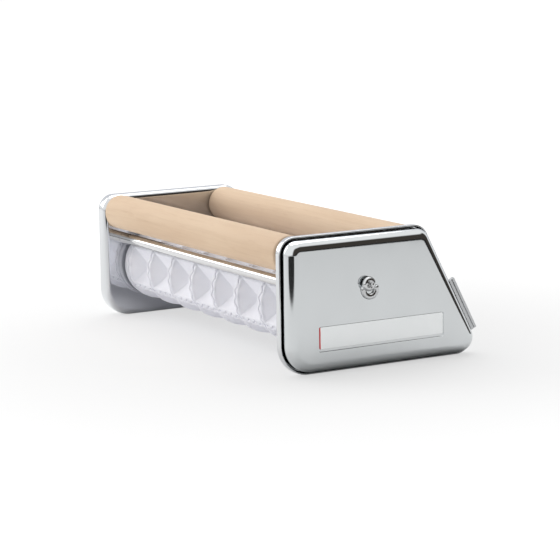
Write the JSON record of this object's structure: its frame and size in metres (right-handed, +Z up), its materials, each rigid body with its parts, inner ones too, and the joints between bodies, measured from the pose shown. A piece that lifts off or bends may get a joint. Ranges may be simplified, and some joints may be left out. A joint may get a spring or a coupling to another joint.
{
  "type": "ravioli maker",
  "caption": "Free-standing ravioli maker: wooden feed rollers over two geared pocket rollers, between chrome end units with a crank socket.",
  "frame": {"origin": "bottom centre of the whole object's box, on the plane that the end units stand on", "axes": "+X along the rollers towards the end unit with the label, +Y from the front rollers to the back, +Z up"},
  "size_m": [0.3102, 0.1656, 0.098],
  "materials": {
    "tray_chrome": "mirror chrome on drawn sheet",
    "cover_chrome": "mirror chrome on drawn sheet",
    "bar_chrome": "polished chrome on round bar",
    "rail_chrome": "bright chrome on folded strip",
    "screw_chrome": "bright plated steel",
    "zinc_steel": "zinc plated, satin",
    "bare_steel": "turned steel, fine satin",
    "gear_steel": "pressed steel, satin with a trace of grease",
    "roller_white": "white food-safe plastic, soft satin",
    "nylon": "natural white nylon, matte",
    "beech": "sanded pale beech, no varnish",
    "label_plate": "thin bare plate, satin, with a narrow red left edge"
  },
  "bodies": {
    "frame": {"left_frame_tray": "tray_chrome", "left_cover": "cover_chrome", "left_cover_pillar": "bare_steel", "left_cover_screw": "screw_chrome", "left_open_washer": "screw_chrome", "left_bar_screws": "zinc_steel", "left_hook_rail": "rail_chrome", "left_hook_rivets": "bare_steel", "left_front_mould_bush": "nylon", "left_front_feed_bush": "nylon", "left_back_mould_bush": "nylon", "left_back_feed_bush": "nylon", "right_frame_tray": "tray_chrome", "right_cover": "cover_chrome", "right_cover_pillar": "bare_steel", "right_cover_screw": "screw_chrome", "right_open_washer": "screw_chrome", "right_bar_screws": "zinc_steel", "right_hook_rail": "rail_chrome", "right_hook_rivets": "bare_steel", "right_front_mould_bush": "nylon", "right_front_feed_bush": "nylon", "right_back_mould_bush": "nylon", "right_back_feed_bush": "nylon", "front_guide_bar": "bar_chrome", "back_guide_bar": "bar_chrome", "lower_tie_bar": "bar_chrome", "label_plate": "label_plate"},
    "front_roller": {"front_mould_roller": "roller_white", "front_mould_shaft": "bare_steel", "front_roller_gear": "gear_steel", "front_gear_key": "bare_steel", "left_front_shaft_clip": "zinc_steel", "right_front_shaft_clip": "zinc_steel"},
    "back_roller": {"back_mould_roller": "roller_white", "back_mould_shaft": "bare_steel", "back_roller_gear": "gear_steel", "back_gear_key": "bare_steel", "left_back_shaft_clip": "zinc_steel", "right_back_shaft_clip": "zinc_steel"},
    "front_feed": {"front_feed_roller": "beech", "left_front_feed_pin": "bare_steel", "right_front_feed_pin": "bare_steel"},
    "back_feed": {"back_feed_roller": "beech", "left_back_feed_pin": "bare_steel", "right_back_feed_pin": "bare_steel"}
  },
  "joints": [
    {"name": "front_roller_turn", "type": "hinge", "parent": "frame", "child": "front_roller", "pos_m": [0, -0.04007, 0.0415], "axis": [1, 0, 0], "continuous": true},
    {"name": "back_roller_turn", "type": "hinge", "parent": "frame", "child": "back_roller", "pos_m": [0, 0.01593, 0.0415], "axis": [1, 0, 0], "continuous": true},
    {"name": "front_feed_turn", "type": "hinge", "parent": "frame", "child": "front_feed", "pos_m": [0, -0.06952, 0.08475], "axis": [1, 0, 0], "continuous": true},
    {"name": "back_feed_turn", "type": "hinge", "parent": "frame", "child": "back_feed", "pos_m": [0, 0.02393, 0.0843], "axis": [1, 0, 0], "continuous": true}
  ],
  "couplings": [
    {"joint": "back_roller_turn", "follows": "front_roller_turn", "ratio": -1}
  ]
}
